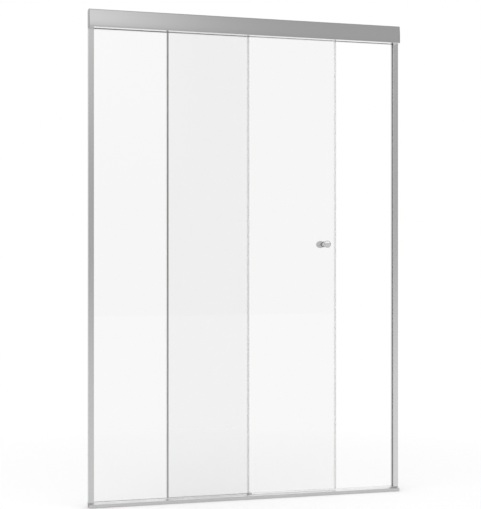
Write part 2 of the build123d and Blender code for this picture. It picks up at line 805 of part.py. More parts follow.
pieces = {
    "header_rail": header_rail(),
    "header_fascia": header_fascia(),
    "header_end_cap_left": mirrored(header_end_cap_right()),
    "header_end_cap_right": header_end_cap_right(),
    "end_cap_screws": end_cap_screws(),
    "jamb_head_screws": jamb_head_screws(),
    "wall_jamb_left": mirrored(wall_jamb_right()),
    "wall_jamb_right": wall_jamb_right(),
    "jamb_infill_left": jamb_infill_left(),
    "jamb_infill_right": jamb_infill_right(),
    "sill_rail": sill_rail(),
    "sill_end_plugs": sill_end_plugs(),
    "sill_infill_strip": sill_infill_strip(),
    "header_infill_strip": header_infill_strip(),
    "jamb_foot_screws": jamb_foot_screws(),
    "fixed_glass": fixed_glass(),
    "fixed_gasket_jamb": fixed_gasket_jamb(),
    "fixed_gasket_head": fixed_gasket_head(),
    "fixed_gasket_sill": fixed_gasket_sill(),
    "fixed_setting_blocks": fixed_setting_blocks(),
    "fixed_edge_seal": fixed_edge_seal(),
    "guide_block": guide_block(),
    "guide_block_screws": guide_block_screws(),
    "strike_seal": strike_seal(),
    "track_stop_left": track_stop(*left_stop),
    "track_stop_right": track_stop(*right_stop),
    "track_stop_buffers": track_stop_buffers(),
    "track_stop_screws": track_stop_screws(),
    "door_glass": door_glass(),
    "door_trailing_profile": door_trailing_profile(),
    "door_overlap_seal": door_overlap_seal(),
    "door_leading_seal": door_leading_seal(),
    "hanger_plate_left": hanger_plate(left_hanger),
    "hanger_plate_right": hanger_plate(right_hanger),
    "hanger_gasket_left": hanger_gasket_pad(left_hanger),
    "hanger_gasket_right": hanger_gasket_pad(right_hanger),
    "hanger_bushes": bolt_rings(bush_radius, door_front, door_back),
    "hanger_washers": bolt_rings(washer_radius, plate_front - washer_thick, plate_front),
    "hanger_bolts": [hanger_bolt(x) for x in bolt_xs],
    "hanger_nuts": [hanger_nut(x) for x in bolt_xs],
    "anti_jump_block_left": anti_jump_block(left_hanger),
    "anti_jump_block_right": anti_jump_block(right_hanger),
    "anti_jump_screws": [anti_jump_screw(x) for x in hanger_xs],
    "roller_axle_left": roller_axle(left_hanger),
    "roller_axle_right": roller_axle(right_hanger),
    "axle_spacers": [axle_spacer(x) for x in hanger_xs],
    "bearing_inner_ring_left": bearing_inner_ring(left_hanger),
    "bearing_inner_ring_right": bearing_inner_ring(right_hanger),
    "bearing_outer_ring_left": bearing_outer_ring(left_hanger),
    "bearing_outer_ring_right": bearing_outer_ring(right_hanger),
    "bearing_balls_left": bearing_balls(left_hanger),
    "bearing_balls_right": bearing_balls(right_hanger),
    "roller_tyre_left": roller_tyre(left_hanger),
    "roller_tyre_right": roller_tyre(right_hanger),
    "knob_outer": knob_outer(),
    "knob_inner": knob_inner(),
    "knob_stud": knob_stud(),
    "knob_bush": knob_ring(knob_bush, door_front, door_back),
    "knob_gaskets": [knob_ring(knob_rose - slip, door_front - knob_gasket, door_front),
                     knob_ring(knob_rose - slip, door_back, door_back + knob_gasket)],
}

os.makedirs("parts", exist_ok=True)
for name, piece in pieces.items():
    solids = piece if isinstance(piece, list) else [piece]
    solids = [solid for each in solids for solid in each.solids()]
    export_step(solids[0] if len(solids) == 1 else Compound(solids), f"parts/{name}.step")
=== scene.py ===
from math import pi, radians, sqrt

import bmesh
import bpy
from mathutils import Matrix, Vector


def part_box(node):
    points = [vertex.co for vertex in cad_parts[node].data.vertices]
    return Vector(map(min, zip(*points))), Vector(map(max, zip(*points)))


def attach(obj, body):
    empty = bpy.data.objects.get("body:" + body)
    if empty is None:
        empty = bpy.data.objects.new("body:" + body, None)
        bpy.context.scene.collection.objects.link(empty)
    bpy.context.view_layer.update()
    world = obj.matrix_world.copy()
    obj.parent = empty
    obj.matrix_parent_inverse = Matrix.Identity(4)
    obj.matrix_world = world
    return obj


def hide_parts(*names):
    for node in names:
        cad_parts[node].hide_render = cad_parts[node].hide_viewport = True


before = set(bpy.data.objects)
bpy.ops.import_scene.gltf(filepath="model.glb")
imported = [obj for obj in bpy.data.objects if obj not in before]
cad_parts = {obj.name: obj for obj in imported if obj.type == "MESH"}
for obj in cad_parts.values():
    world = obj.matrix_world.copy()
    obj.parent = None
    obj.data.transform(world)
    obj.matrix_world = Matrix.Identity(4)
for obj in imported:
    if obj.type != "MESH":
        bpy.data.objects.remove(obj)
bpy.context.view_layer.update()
mm = 0.001

# Wall jambs: two upright lengths of extruded aluminium, screwed to the walls through their webs. They
# are anodised to a soft shine; the right one is the same alloy painted paler, as painted light. The die
# leaves fine lines along them, and cloths and shoulders rub their corners a little brighter.


def put(tree, socket, value):
    """Gives a socket a plain value, or links another node's output to it."""
    if isinstance(value, bpy.types.NodeSocket):
        tree.links.new(value, socket)
    else:
        socket.default_value = value


def add(tree, kind, settings=None, **values):
    """A new node with its settings, and its inputs by name."""
    made = tree.nodes.new("ShaderNode" + kind)
    for label, value in (settings or {}).items():
        setattr(made, label, value)
    for label, value in values.items():
        put(tree, made.inputs[label.replace("_", " ")], value)
    return made


def maths(tree, operation, *values):
    """The result of a Math node over sockets and numbers."""
    made = add(tree, "Math", {"operation": operation})
    for socket, value in zip(made.inputs, values):
        put(tree, socket, value)
    return made.outputs[0]


def spread(tree, value, low, high, start=0.0, end=1.0):
    """A value between start and end, moved to lie between low and high."""
    made = add(tree, "MapRange", Value=value, From_Min=start, From_Max=end, To_Min=low, To_Max=high)
    return made.outputs[0]


def blend_colours(tree, share, first, second):
    """A mix of two colours, each a grey, a triple or a socket."""
    made = add(tree, "Mix", {"data_type": "RGBA"})
    put(tree, made.inputs[0], share)
    for socket, colour in ((made.inputs[6], first), (made.inputs[7], second)):
        if isinstance(colour, float):
            colour = (colour, colour, colour)
        put(tree, socket, (*colour, 1.0) if isinstance(colour, tuple) else colour)
    return made.outputs[2]


def open_group(name, takes, gives):
    """An empty shader group with named inputs and outputs."""
    tree = bpy.data.node_groups.new(name, "ShaderNodeTree")
    for label, kind in takes.items():
        tree.interface.new_socket(name=label, in_out="INPUT", socket_type="NodeSocket" + kind)
    for label, kind in gives.items():
        tree.interface.new_socket(name=label, in_out="OUTPUT", socket_type="NodeSocket" + kind)
    return tree, tree.nodes.new("NodeGroupInput").outputs, tree.nodes.new("NodeGroupOutput").inputs


def use_group(tree, group, **values):
    """A group placed in a material; returns its outputs."""
    made = tree.nodes.new("ShaderNodeGroup")
    made.node_tree = group
    for label, value in values.items():
        put(tree, made.inputs[label.replace("_", " ")], value)
    return made.outputs


def new_finish(name, plain):
    """A material with one Principled shader and its plain values; returns it, its tree and the shader."""
    material = bpy.data.materials.new(name)
    material.use_nodes = True
    tree = material.node_tree
    shader = tree.nodes["Principled BSDF"]
    for label, value in plain.items():
        shader.inputs[label].default_value = value
    return material, tree, shader


def object_place(tree, scale=(1.0, 1.0, 1.0), centre=(0.0, 0.0, 0.0)):
    """Object coordinates, centred and scaled by a Mapping node."""
    place = add(tree, "TexCoord").outputs["Object"]
    shift = tuple(-c * s for c, s in zip(centre, scale))
    return add(tree, "Mapping", Vector=place, Location=shift, Scale=scale).outputs[0]


def dress(names, material):
    """Gives CAD nodes a finish."""
    for name in names.split():
        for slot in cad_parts[name].material_slots:
            slot.material = material


# Fine lines and broad soft bands, both drawn out along one direction by the Mapping node before it.
drawn_lines, taken, given = open_group("drawn_lines", {"Vector": "Vector"},
                                       {"Lines": "Float", "Bands": "Float"})
fine = add(drawn_lines, "TexNoise", Vector=taken["Vector"], Scale=1.0, Detail=3.0, Roughness=0.65)
wide = add(drawn_lines, "VectorMath", {"operation": "SCALE"}, Vector=taken["Vector"], Scale=0.035)
soft = add(drawn_lines, "TexNoise", Vector=wide.outputs[0], Scale=1.0, Detail=2.0, Roughness=0.5)
put(drawn_lines, given["Lines"], fine.outputs[0])
put(drawn_lines, given["Bands"], spread(drawn_lines, soft.outputs[0], 0.0, 1.0, 0.3, 0.7))

# Where a corner has been rubbed: how far the rounded normal leaves the flat one, broken up by noise.
edge_wear, taken, given = open_group("edge_wear", {"Radius": "Float", "Vector": "Vector"}, {"Mask": "Float"})
rounded = add(edge_wear, "Bevel", {"samples": 4}, Radius=taken["Radius"]).outputs[0]
flat = add(edge_wear, "NewGeometry").outputs["Normal"]
turned = add(edge_wear, "VectorMath", {"operation": "DOT_PRODUCT"})
put(edge_wear, turned.inputs[0], rounded)
put(edge_wear, turned.inputs[1], flat)
corner = spread(edge_wear, turned.outputs["Value"], 1.0, 0.0, 0.72, 0.99)
patches = add(edge_wear, "TexNoise", Vector=taken["Vector"], Scale=14.0, Detail=3.0).outputs[0]
broken_up = spread(edge_wear, patches, 0.2, 1.0, 0.35, 0.6)
put(edge_wear, given["Mask"], maths(edge_wear, "MULTIPLY", corner, broken_up))


def drawn_metal(name, along, dark, pale, smooth, rough, relief=0.04):
    """An extruded alloy: its scale vector is small along the direction the lines run in."""
    material, tree, shader = new_finish(name, {"Metallic": 1.0})
    lines = use_group(tree, drawn_lines, Vector=object_place(tree, along))
    worn = use_group(tree, edge_wear, Radius=0.6 * mm, Vector=object_place(tree))["Mask"]
    tone = blend_colours(tree, lines["Bands"], dark, pale)
    put(tree, shader.inputs["Base Color"], blend_colours(tree, worn, tone, min(1.0, pale + 0.1)))
    put(tree, shader.inputs["Roughness"], spread(tree, lines["Lines"], smooth, rough, 0.3, 0.7))
    bump = add(tree, "Bump", Height=lines["Lines"], Strength=relief, Distance=0.02 * mm)
    put(tree, shader.inputs["Normal"], bump.outputs[0])
    return material


fine_upright = (1100.0, 1100.0, 3.0)
upright_alloy = drawn_metal("upright_alloy", fine_upright, dark=0.54, pale=0.57, smooth=0.21, rough=0.27)
dress("wall_jamb_left", upright_alloy)
# The right jamb: a lit copy of the jamb alloy, painted paler as painted light.
painted_lighter_upright_alloy = drawn_metal("painted_lighter_upright_alloy", fine_upright, dark=0.64, pale=0.67, smooth=0.21,
                                 rough=0.27)
dress("wall_jamb_right", painted_lighter_upright_alloy)

# Jamb infill strips: thin extruded covers pushed into the empty glazing pocket of each jamb. They come
# from another billet, so their anodising is a shade duller than the jamb's.
close_upright = (1400.0, 1400.0, 3.0)
strip_alloy = drawn_metal("strip_alloy", close_upright, dark=0.50, pale=0.53, smooth=0.26, rough=0.34)
dress("jamb_infill_left jamb_infill_right", strip_alloy)

# Sill: a hollow extrusion that lies on the shower base, with a sloped nose, a flat top and a groove
# for the fixed pane. Splashes dry on its flat top and slope, and leave pale rings of lime.
dried_drops, taken, given = open_group("dried_drops", {"Vector": "Vector", "Spacing": "Float"},
                                       {"Mask": "Float"})
per_metre = maths(dried_drops, "DIVIDE", 1.0, taken["Spacing"])
cells = add(dried_drops, "TexVoronoi", Vector=taken["Vector"], Scale=per_metre, Randomness=1.0)
ring = maths(dried_drops, "ABSOLUTE", maths(dried_drops, "SUBTRACT", cells.outputs["Distance"], 0.26))
rim = spread(dried_drops, ring, 1.0, 0.0, 0.015, 0.06)
some = spread(dried_drops, add(dried_drops, "SeparateColor", Color=cells.outputs["Color"]).outputs[0],
              0.0, 1.0, 0.72, 0.8)
put(dried_drops, given["Mask"], maths(dried_drops, "MULTIPLY", rim, some))

# Dust and lime lie only on faces that look up; the up and down masks also carry painted top and underside
# light.
dust_and_painted_light_masks, taken, given = open_group("dust_and_painted_light_masks", {"Vector": "Vector"},
                                        {"Mask": "Float", "Upward": "Float", "Downward": "Float"})
outwards = add(dust_and_painted_light_masks, "NewGeometry").outputs["Normal"]
facing = add(dust_and_painted_light_masks, "SeparateXYZ", Vector=outwards).outputs[2]
clouds = add(dust_and_painted_light_masks, "TexNoise", Vector=taken["Vector"], Scale=22.0, Detail=5.0,
             Roughness=0.7).outputs[0]
upward = spread(dust_and_painted_light_masks, facing, 0.0, 1.0, 0.6, 0.95)
patchy = spread(dust_and_painted_light_masks, clouds, 0.1, 1.0, 0.4, 0.65)
put(dust_and_painted_light_masks, given["Mask"], maths(dust_and_painted_light_masks, "MULTIPLY", upward, patchy))
put(dust_and_painted_light_masks, given["Upward"], upward)
put(dust_and_painted_light_masks, given["Downward"], spread(dust_and_painted_light_masks, facing, 1.0, 0.0, -0.95, -0.6))


def splashed_metal_painted_light(name, along, dark, pale, smooth, rough, top, under, dust=0.12):
    """A drawn alloy with dust and splashes on what faces up, and painted light: its own top and underside
    tones.
    """
    material = drawn_metal(name, along, dark, pale, smooth, rough)
    tree = material.node_tree
    shader = tree.nodes["Principled BSDF"]
    place = object_place(tree)
    dust_and_light_masks = use_group(tree, dust_and_painted_light_masks, Vector=place)
    rings = use_group(tree, dried_drops, Vector=place, Spacing=9 * mm)["Mask"]
    drops = maths(tree, "MULTIPLY", rings, dust_and_light_masks["Upward"])
    lime = maths(tree, "MULTIPLY", maths(tree, "MAXIMUM", drops, dust_and_light_masks["Mask"]), dust)
    colour = shader.inputs["Base Color"].links[0].from_socket
    # Painted light and shade: upward faces take the top tone and downward faces the underside tone.
    colour = blend_colours(tree, dust_and_light_masks["Upward"], colour, top)
    colour = blend_colours(tree, dust_and_light_masks["Downward"], colour, under)
    put(tree, shader.inputs["Base Color"], blend_colours(tree, lime, colour, 0.8))
    shine = shader.inputs["Roughness"].links[0].from_socket
    put(tree, shader.inputs["Roughness"], maths(tree, "ADD", shine, maths(tree, "MULTIPLY", lime, 1.2)))
    return material


fine_level = (3.0, 1100.0, 1100.0)
close_level = (3.0, 1400.0, 1400.0)
# The sill's upward faces are painted much paler, and its underside a little paler: painted light.
sill_alloy = splashed_metal_painted_light("sill_alloy", fine_level, dark=0.53, pale=0.56, smooth=0.20, rough=0.27,
                            top=0.88, under=0.60)
dress("sill_rail", sill_alloy)
sill_strip_alloy = drawn_metal("sill_strip_alloy", close_level, dark=0.74, pale=0.78, smooth=0.25,
                               rough=0.32)
dress("sill_infill_strip", sill_strip_alloy)

# Sill end plugs: moulded clear plastic, pushed into the hollow ends of the sill to keep water out.
# The fixed pane's setting blocks are of the same stuff, and show the faint clouds of a thick moulding.
fine_grain, taken, given = open_group("fine_grain", {"Vector": "Vector", "Grain": "Float"},
                                      {"Height": "Float", "Tone": "Float"})
per_metre = maths(fine_grain, "DIVIDE", 1.0, taken["Grain"])
grains = add(fine_grain, "TexNoise", Vector=taken["Vector"], Scale=per_metre, Detail=4.0,
             Roughness=0.6).outputs[0]
slow = maths(fine_grain, "MULTIPLY", per_metre, 0.05)
clouds = add(fine_grain, "TexNoise", Vector=taken["Vector"], Scale=slow, Detail=2.0).outputs[0]
put(fine_grain, given["Height"], grains)
put(fine_grain, given["Tone"], spread(fine_grain, clouds, 0.0, 1.0, 0.3, 0.7))


def grained(name, plain, grain, dark, pale, smooth, rough, relief):
    """A moulded, cast or turned finish with a fine grain and a slow change of tone."""
    material, tree, shader = new_finish(name, plain)
    stuff = use_group(tree, fine_grain, Vector=object_place(tree), Grain=grain)
    put(tree, shader.inputs["Base Color"], blend_colours(tree, stuff["Tone"], dark, pale))
    put(tree, shader.inputs["Roughness"], spread(tree, stuff["Height"], smooth, rough, 0.3, 0.7))
    bump = add(tree, "Bump", Height=stuff["Height"], Strength=relief, Distance=0.05 * mm)
    put(tree, shader.inputs["Normal"], bump.outputs[0])
    return material


moulded_clear = grained("moulded_clear", {"Alpha": 0.3, "IOR": 1.47}, grain=0.6 * mm, dark=0.78, pale=0.84,
                        smooth=0.22, rough=0.34, relief=0.15)
dress("sill_end_plugs fixed_setting_blocks", moulded_clear)

# Jamb foot screws: stainless screws driven up from inside the sill into the flute of each jamb.
# The heads are turned, so the grain is fine and the shine is even.
screw_steel = grained("screw_steel", {"Metallic": 1.0}, grain=0.25 * mm, dark=0.50, pale=0.58,
                      smooth=0.22, rough=0.34, relief=0.1)
dress("jamb_foot_screws", screw_steel)

# Fixed glass: a pane of clear toughened glass, 6 mm thick, with its edges ground and polished. It
# stands in the sill's groove, the left jamb's pocket and the header's pocket.


def let_lamps_through(material, tint):
    """Rays from lamps and soft light pass the glass as they do a real pane, tinted at each face."""
    tree = material.node_tree
    shader = tree.nodes["Principled BSDF"]
    path = add(tree, "LightPath").outputs
    clear = add(tree, "BsdfTransparent", Color=(tint, tint, tint, 1.0))
    mix = add(tree, "MixShader")
    put(tree, mix.inputs[0], maths(tree, "MAXIMUM", path["Is Shadow Ray"], path["Is Diffuse Ray"]))
    put(tree, mix.inputs[1], shader.outputs[0])
    put(tree, mix.inputs[2], clear.outputs[0])
    put(tree, tree.nodes["Material Output"].inputs["Surface"], mix.outputs[0])


def clear_pane(name, body, edge):
    """Toughened glass: a clear body, and ground edges that pass less light."""
    material, tree, shader = new_finish(name, {"Transmission Weight": 1.0, "IOR": 1.5})
    normal = add(tree, "SeparateXYZ", Vector=add(tree, "NewGeometry").outputs["True Normal"]).outputs[1]
    on_edge = spread(tree, maths(tree, "ABSOLUTE", normal), 1.0, 0.0, 0.3, 0.9)
    drops = use_group(tree, dried_drops, Vector=object_place(tree), Spacing=16 * mm)["Mask"]
    put(tree, shader.inputs["Base Color"], blend_colours(tree, on_edge, body, edge))
    shine = maths(tree, "ADD", maths(tree, "MULTIPLY", on_edge, 0.18), maths(tree, "MULTIPLY", drops, 0.05))
    put(tree, shader.inputs["Roughness"], shine)
    let_lamps_through(material, tint=0.95)
    return material


pane = clear_pane("toughened_glass", body=0.935, edge=0.90)
dress("fixed_glass", pane)

# Gaskets and edge seal of the fixed pane: clear soft plastic channels that hold it in the jamb, the
# header and the sill, and one on its free edge with a thin fin towards the door. They are extruded,
# so what little texture they have runs lengthwise, and the gaskets are the milkier ones.


def soft_seal(name, dark, pale, cloudy, body):
    """A clear soft extrusion: mostly see-through, and a little milky along its length."""
    material, tree, shader = new_finish(name, {"Alpha": body, "IOR": 1.45})
    lines = use_group(tree, drawn_lines, Vector=object_place(tree, (1600.0, 1600.0, 6.0)))
    put(tree, shader.inputs["Base Color"], blend_colours(tree, lines["Bands"], dark, pale))
    put(tree, shader.inputs["Roughness"], spread(tree, lines["Lines"], cloudy, cloudy + 0.1, 0.3, 0.7))
    return material


clear_seal = soft_seal("clear_seal", dark=0.70, pale=0.80, cloudy=0.25, body=0.16)
dress("fixed_edge_seal", clear_seal)
clear_gasket = soft_seal("clear_gasket", dark=0.72, pale=0.80, cloudy=0.3, body=0.45)
dress("fixed_gasket_jamb fixed_gasket_head fixed_gasket_sill", clear_gasket)

# Header rail: the extrusion that spans the walls and carries the door. It is a box that is open
# below, with a glazing pocket behind and a ledge in front, whose round bead the rollers run on.
# The rail's underside is painted pale: painted light standing in for light from the floor below.
header_alloy = splashed_metal_painted_light("header_alloy", fine_level, dark=0.52, pale=0.56, smooth=0.22, rough=0.29,
                              top=0.56, under=0.86, dust=0.3)
dress("header_rail", header_alloy)
dress("header_infill_strip", strip_alloy)

# Header fascia: the bowed cover that shows from the bathroom, pushed on to the front of the rail. It
# is an extrusion, bright dipped and anodised, with a lip over the rail, two ribs behind and a return
# along its foot.


def finish_mesh(shape, name, material, body, sharp=32.0):
    """Turns a bmesh into a piece that rides on a body, smooth except at corners sharper than an angle."""
    bmesh.ops.remove_doubles(shape, verts=shape.verts, dist=0.002 * mm)
    bmesh.ops.recalc_face_normals(shape, faces=shape.faces)
    for face in shape.faces:
        face.smooth = True
    for edge in shape.edges:
        edge.smooth = len(edge.link_faces) == 2 and edge.calc_face_angle(0.0) < radians(sharp)
    mesh = bpy.data.meshes.new(name)
    shape.to_mesh(mesh)
    shape.free()
    mesh.materials.append(material)
    piece = bpy.data.objects.new(name, mesh)
    bpy.context.scene.collection.objects.link(piece)
    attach(piece, body)
    return piece


low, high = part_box("header_fascia")
fascia_wall = 1.4 * mm
fascia_skirt = 9 * mm
fascia_lean = 4.4 * mm
fascia_bow = 1.3 * mm
fascia_lip = 1.4 * mm
fascia_tuck = 6 * mm
fascia_brow = 2.8 * mm
fascia_heel = 0.8 * mm
fascia_cuts = 14
rail_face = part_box("header_rail")[0].y
face_low, face_high = low.z + fascia_skirt, high.z
front_low = low.y + 0.001 * mm
rail_top = high.z - fascia_lip


def fascia_front(z):
    """How far forward the bowed face lies at a height."""
    share = min(1.0, max(0.0, (z - face_low) / (face_high - face_low)))
    return front_low + share * fascia_lean - fascia_bow * 4 * share * (1 - share)


def fascia_back(z):
    """How far forward the inner side of the bowed face lies at a height."""
    return fascia_front(z) + fascia_wall


shape = bmesh.new()
lip_tip = rail_face + fascia_tuck
outline = [(front_low, low.z), (front_low, face_low), (fascia_front(high.z), high.z), (lip_tip, high.z),
           (lip_tip, rail_top), (fascia_back(rail_top), rail_top)]
for rib in ((face_low + face_high) / 2, face_low):
    top = rib + fascia_wall
    outline += [(fascia_back(top), top), (rail_face, top), (rail_face, rib), (fascia_back(rib), rib)]
outline += [(front_low + fascia_wall, low.z + fascia_wall), (high.y, low.z + fascia_wall),
            (high.y, low.z)]
points = [shape.verts.new((low.x, y, z)) for y, z in outline]
edges = [shape.edges.new(pair) for pair in zip(points, points[1:] + points[:1])]
for edge, curve in ((edges[1], fascia_front), (edges[5], fascia_back), (edges[9], fascia_back)):
    for v in bmesh.ops.subdivide_edges(shape, edges=[edge], cuts=fascia_cuts)["geom_inner"]:
        if isinstance(v, bmesh.types.BMVert):
            v.co.y = curve(v.co.z)
end = bmesh.ops.contextual_create(shape, geom=shape.edges[:])["faces"]
run = bmesh.ops.extrude_face_region(shape, geom=end, use_keep_orig=True)["geom"]
far_end = [v for v in run if isinstance(v, bmesh.types.BMVert)]
bmesh.ops.translate(shape, verts=far_end, vec=(high.x - low.x, 0, 0))
for y, z, radius in ((*outline[0], fascia_heel), (*outline[2], fascia_brow)):
    corner = [e for e in shape.edges if abs(e.verts[0].co.x - e.verts[1].co.x) > 1.0
              and all((v.co - Vector((v.co.x, y, z))).length < 0.05 * mm for v in e.verts)]
    bmesh.ops.bevel(shape, geom=corner, offset=radius, segments=8, profile=0.5, affect="EDGES", material=-1)
# The fascia's underside is painted pale: a painted highlight standing in for light from the floor.
fascia_alloy = splashed_metal_painted_light("fascia_alloy", (2.0, 900.0, 900.0), dark=0.55, pale=0.57, smooth=0.17,
                              rough=0.21, top=0.56, under=0.88, dust=0.2)
fascia = finish_mesh(shape, "bowed_fascia", fascia_alloy, "frame")
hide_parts("header_fascia")

# Header end caps: thin castings that close the header at each wall and stand on the jambs. The
# casting is satin, a little darker than the rail, and its rim catches the light.
cast_satin = grained("cast_satin", {"Metallic": 1.0}, grain=0.7 * mm, dark=0.30, pale=0.36, smooth=0.32,
                     rough=0.44, relief=0.25)
dress("header_end_cap_left header_end_cap_right", cast_satin)

# Cap screws and jamb head screws: stainless screws that hold the caps to the rail's flutes and to
# the jambs.
dress("end_cap_screws jamb_head_screws", screw_steel)

# Track stops: short lengths of extrusion clamped over the bead by a grub screw, with a rubber buffer
# that the roller meets at each end of its travel.
stop_alloy = drawn_metal("stop_alloy", close_level, dark=0.48, pale=0.54, smooth=0.28, rough=0.38)
dress("track_stop_left track_stop_right", stop_alloy)
dress("track_stop_screws", screw_steel)
black_rubber = grained("black_rubber", {"Specular IOR Level": 0.3}, grain=0.4 * mm, dark=0.045, pale=0.07,
                       smooth=0.6, rough=0.8, relief=0.3)
dress("track_stop_buffers", black_rubber)

# Door guide: a clear moulded block with two low fingers, screwed to the sill under the overlap, and
# the pale grey strike seal that the door closes against in the right jamb.
dress("guide_block", moulded_clear)
dress("guide_block_screws", screw_steel)
pale_rubber = grained("pale_rubber", {"Specular IOR Level": 0.35}, grain=0.5 * mm, dark=0.46, pale=0.52,
                      smooth=0.55, rough=0.75, relief=0.3)
dress("strike_seal", pale_rubber)

# Door glass: the sliding pane, of the same toughened glass, drilled for four hanger bolts and the
# knobs. The trailing edge has an aluminium profile, which shows as a grey upright line.
dress("door_glass", pane)
profile_alloy = drawn_metal("profile_alloy", (1500.0, 1500.0, 3.0), dark=0.33, pale=0.37, smooth=0.22,
                            rough=0.32)
dress("door_trailing_profile", profile_alloy)

# Door seals: clear soft plastic, a fin behind the trailing profile that closes the gap between the
# panes, and a channel pushed on to the leading edge.
dress("door_overlap_seal door_leading_seal", clear_seal)

# Hangers: pressed stainless plates bolted through the glass, with slots to set the door level, and
# a thin rubber pad against the glass. Brushing runs along the plates.
plate_steel = drawn_metal("plate_steel", (8.0, 1800.0, 1800.0), dark=0.50, pale=0.60, smooth=0.25,
                          rough=0.38)
dress("hanger_plate_left hanger_plate_right", plate_steel)
grey_rubber = grained("grey_rubber", {"Specular IOR Level": 0.35}, grain=0.5 * mm, dark=0.30, pale=0.36,
                      smooth=0.55, rough=0.75, relief=0.3)
dress("hanger_gasket_left hanger_gasket_right", grey_rubber)
turned_steel = grained("turned_steel", {"Metallic": 1.0}, grain=0.2 * mm, dark=0.54, pale=0.62,
                       smooth=0.16, rough=0.28, relief=0.1)
dress("hanger_washers hanger_bolts hanger_nuts anti_jump_screws", turned_steel)

# Nylon bushes in the glass holes, and the anti-jump blocks just under the ledge: turned and moulded
# nylon, slightly waxy.
white_nylon = grained("white_nylon", {"IOR": 1.53, "Subsurface Weight": 0.08, "Subsurface Scale": 2 * mm},
                      grain=0.5 * mm, dark=0.74, pale=0.80, smooth=0.36, rough=0.48, relief=0.15)
dress("hanger_bushes anti_jump_block_left anti_jump_block_right", white_nylon)

# Rollers: nylon wheels with a round groove, pressed on shielded ball bearings, on axles riveted into
# the hanger plates. The bead polishes and greys the bottom of each groove.
bearing_steel = grained("bearing_steel", {"Metallic": 1.0}, grain=0.15 * mm, dark=0.58, pale=0.66,
                        smooth=0.08, rough=0.18, relief=0.05)
dress("bearing_inner_ring_left bearing_inner_ring_right bearing_outer_ring_left bearing_outer_ring_right "
      "bearing_balls_left bearing_balls_right", bearing_steel)
dress("roller_axle_left roller_axle_right axle_spacers", turned_steel)
rubbed_depth = (10.4 * mm, 11.6 * mm)
rubbed_width = (1.4 * mm, 2.4 * mm)


def reach_from_axis(tree, place):
    """How far a place lies from the axis along Y through the middle of its coordinates."""
    flat_place = add(tree, "VectorMath", {"operation": "MULTIPLY"})
    put(tree, flat_place.inputs[0], place)
    put(tree, flat_place.inputs[1], (1.0, 0.0, 1.0))
    reach = add(tree, "VectorMath", {"operation": "LENGTH"})
    put(tree, reach.inputs[0], flat_place.outputs[0])
    return reach.outputs["Value"]


for side in ("left", "right"):
    low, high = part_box("roller_tyre_" + side)
    tyre = grained("roller_nylon_" + side, {"IOR": 1.53}, grain=0.5 * mm, dark=0.74, pale=0.80,
                   smooth=0.36, rough=0.48, relief=0.15)
    tree = tyre.node_tree
    shader = tree.nodes["Principled BSDF"]
    place = object_place(tree, centre=tuple((low + high) / 2))
    reach = reach_from_axis(tree, place)
    middle = maths(tree, "ABSOLUTE", add(tree, "SeparateXYZ", Vector=place).outputs[1])
    rubbed = maths(tree, "MULTIPLY", spread(tree, reach, 1.0, 0.0, *rubbed_depth),
                   spread(tree, middle, 1.0, 0.0, *rubbed_width))
    colour = shader.inputs["Base Color"].links[0].from_socket
    put(tree, shader.inputs["Base Color"], blend_colours(tree, rubbed, colour, 0.5))
    dress("roller_tyre_" + side, tyre)

# Knobs: a pair of turned and chromed brass knobs, back to back through the glass on one stud. Each
# has a rose against the glass, a waisted neck, and a head with a shallow dish in its face.
rose_radius, rose_depth = 11.0, 2.5
neck_radius, neck_end, neck_depth = 9.4, 32.0, 3.4
head_radius, head_start = 13.5, 32.8
face_radius, knob_depth, dish_depth = 11.9, 46.0, 0.6
knob_profile = [(0.0, 0.0), (rose_radius, 0.0), (rose_radius, rose_depth), (neck_radius, rose_depth),
                (face_radius, neck_end), (head_radius, head_start), (head_radius, knob_depth),
                (face_radius, knob_depth), (0.0, knob_depth - dish_depth)]
rounded_rims = ((rose_radius, rose_depth), (head_radius, knob_depth), (head_radius, head_start))
knob_axis = (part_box("knob_outer")[0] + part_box("knob_outer")[1]) / 2


def turned_knob(seat, outwards):
    """The knob's outline spun round its axis, from its seat on the glass outwards."""
    shape = bmesh.new()
    points = [shape.verts.new((r * mm, d * mm, 0.0)) for r, d in knob_profile]
    rail = [shape.edges.new(pair) for pair in zip(points, points[1:])]
    neck = bmesh.ops.subdivide_edges(shape, edges=[rail[3]], cuts=18)["geom_inner"]
    for v in neck:
        if isinstance(v, bmesh.types.BMVert):
            share = (v.co.y / mm - rose_depth) / (neck_end - rose_depth)
            v.co.x -= neck_depth * mm * 4 * share * (1 - share)
    dish = bmesh.ops.subdivide_edges(shape, edges=[rail[7]], cuts=10)["geom_inner"]
    for v in dish:
        if isinstance(v, bmesh.types.BMVert):
            share = v.co.x / (face_radius * mm)
            v.co.y = (knob_depth - dish_depth * (1 - share * share)) * mm
    bmesh.ops.spin(shape, geom=shape.verts[:] + shape.edges[:], axis=(0, 1, 0), cent=(0, 0, 0), steps=96,
                   angle=2 * pi, use_merge=True)
    bmesh.ops.remove_doubles(shape, verts=shape.verts, dist=0.002 * mm)
    rings = []
    for e in shape.edges:
        x, y, z = e.verts[0].co
        off_rim = min(abs(y / mm - d) + abs(sqrt(x ** 2 + z ** 2) / mm - r) for r, d in rounded_rims)
        if abs(y - e.verts[1].co.y) < 1e-7 and off_rim < 0.02:
            rings.append(e)
    bmesh.ops.bevel(shape, geom=rings, offset=0.7 * mm, segments=4, profile=0.5, affect="EDGES",
                    material=-1)
    bmesh.ops.scale(shape, verts=shape.verts, vec=(1, outwards, 1))
    bmesh.ops.translate(shape, verts=shape.verts, vec=(knob_axis.x, seat, knob_axis.z))
    return shape
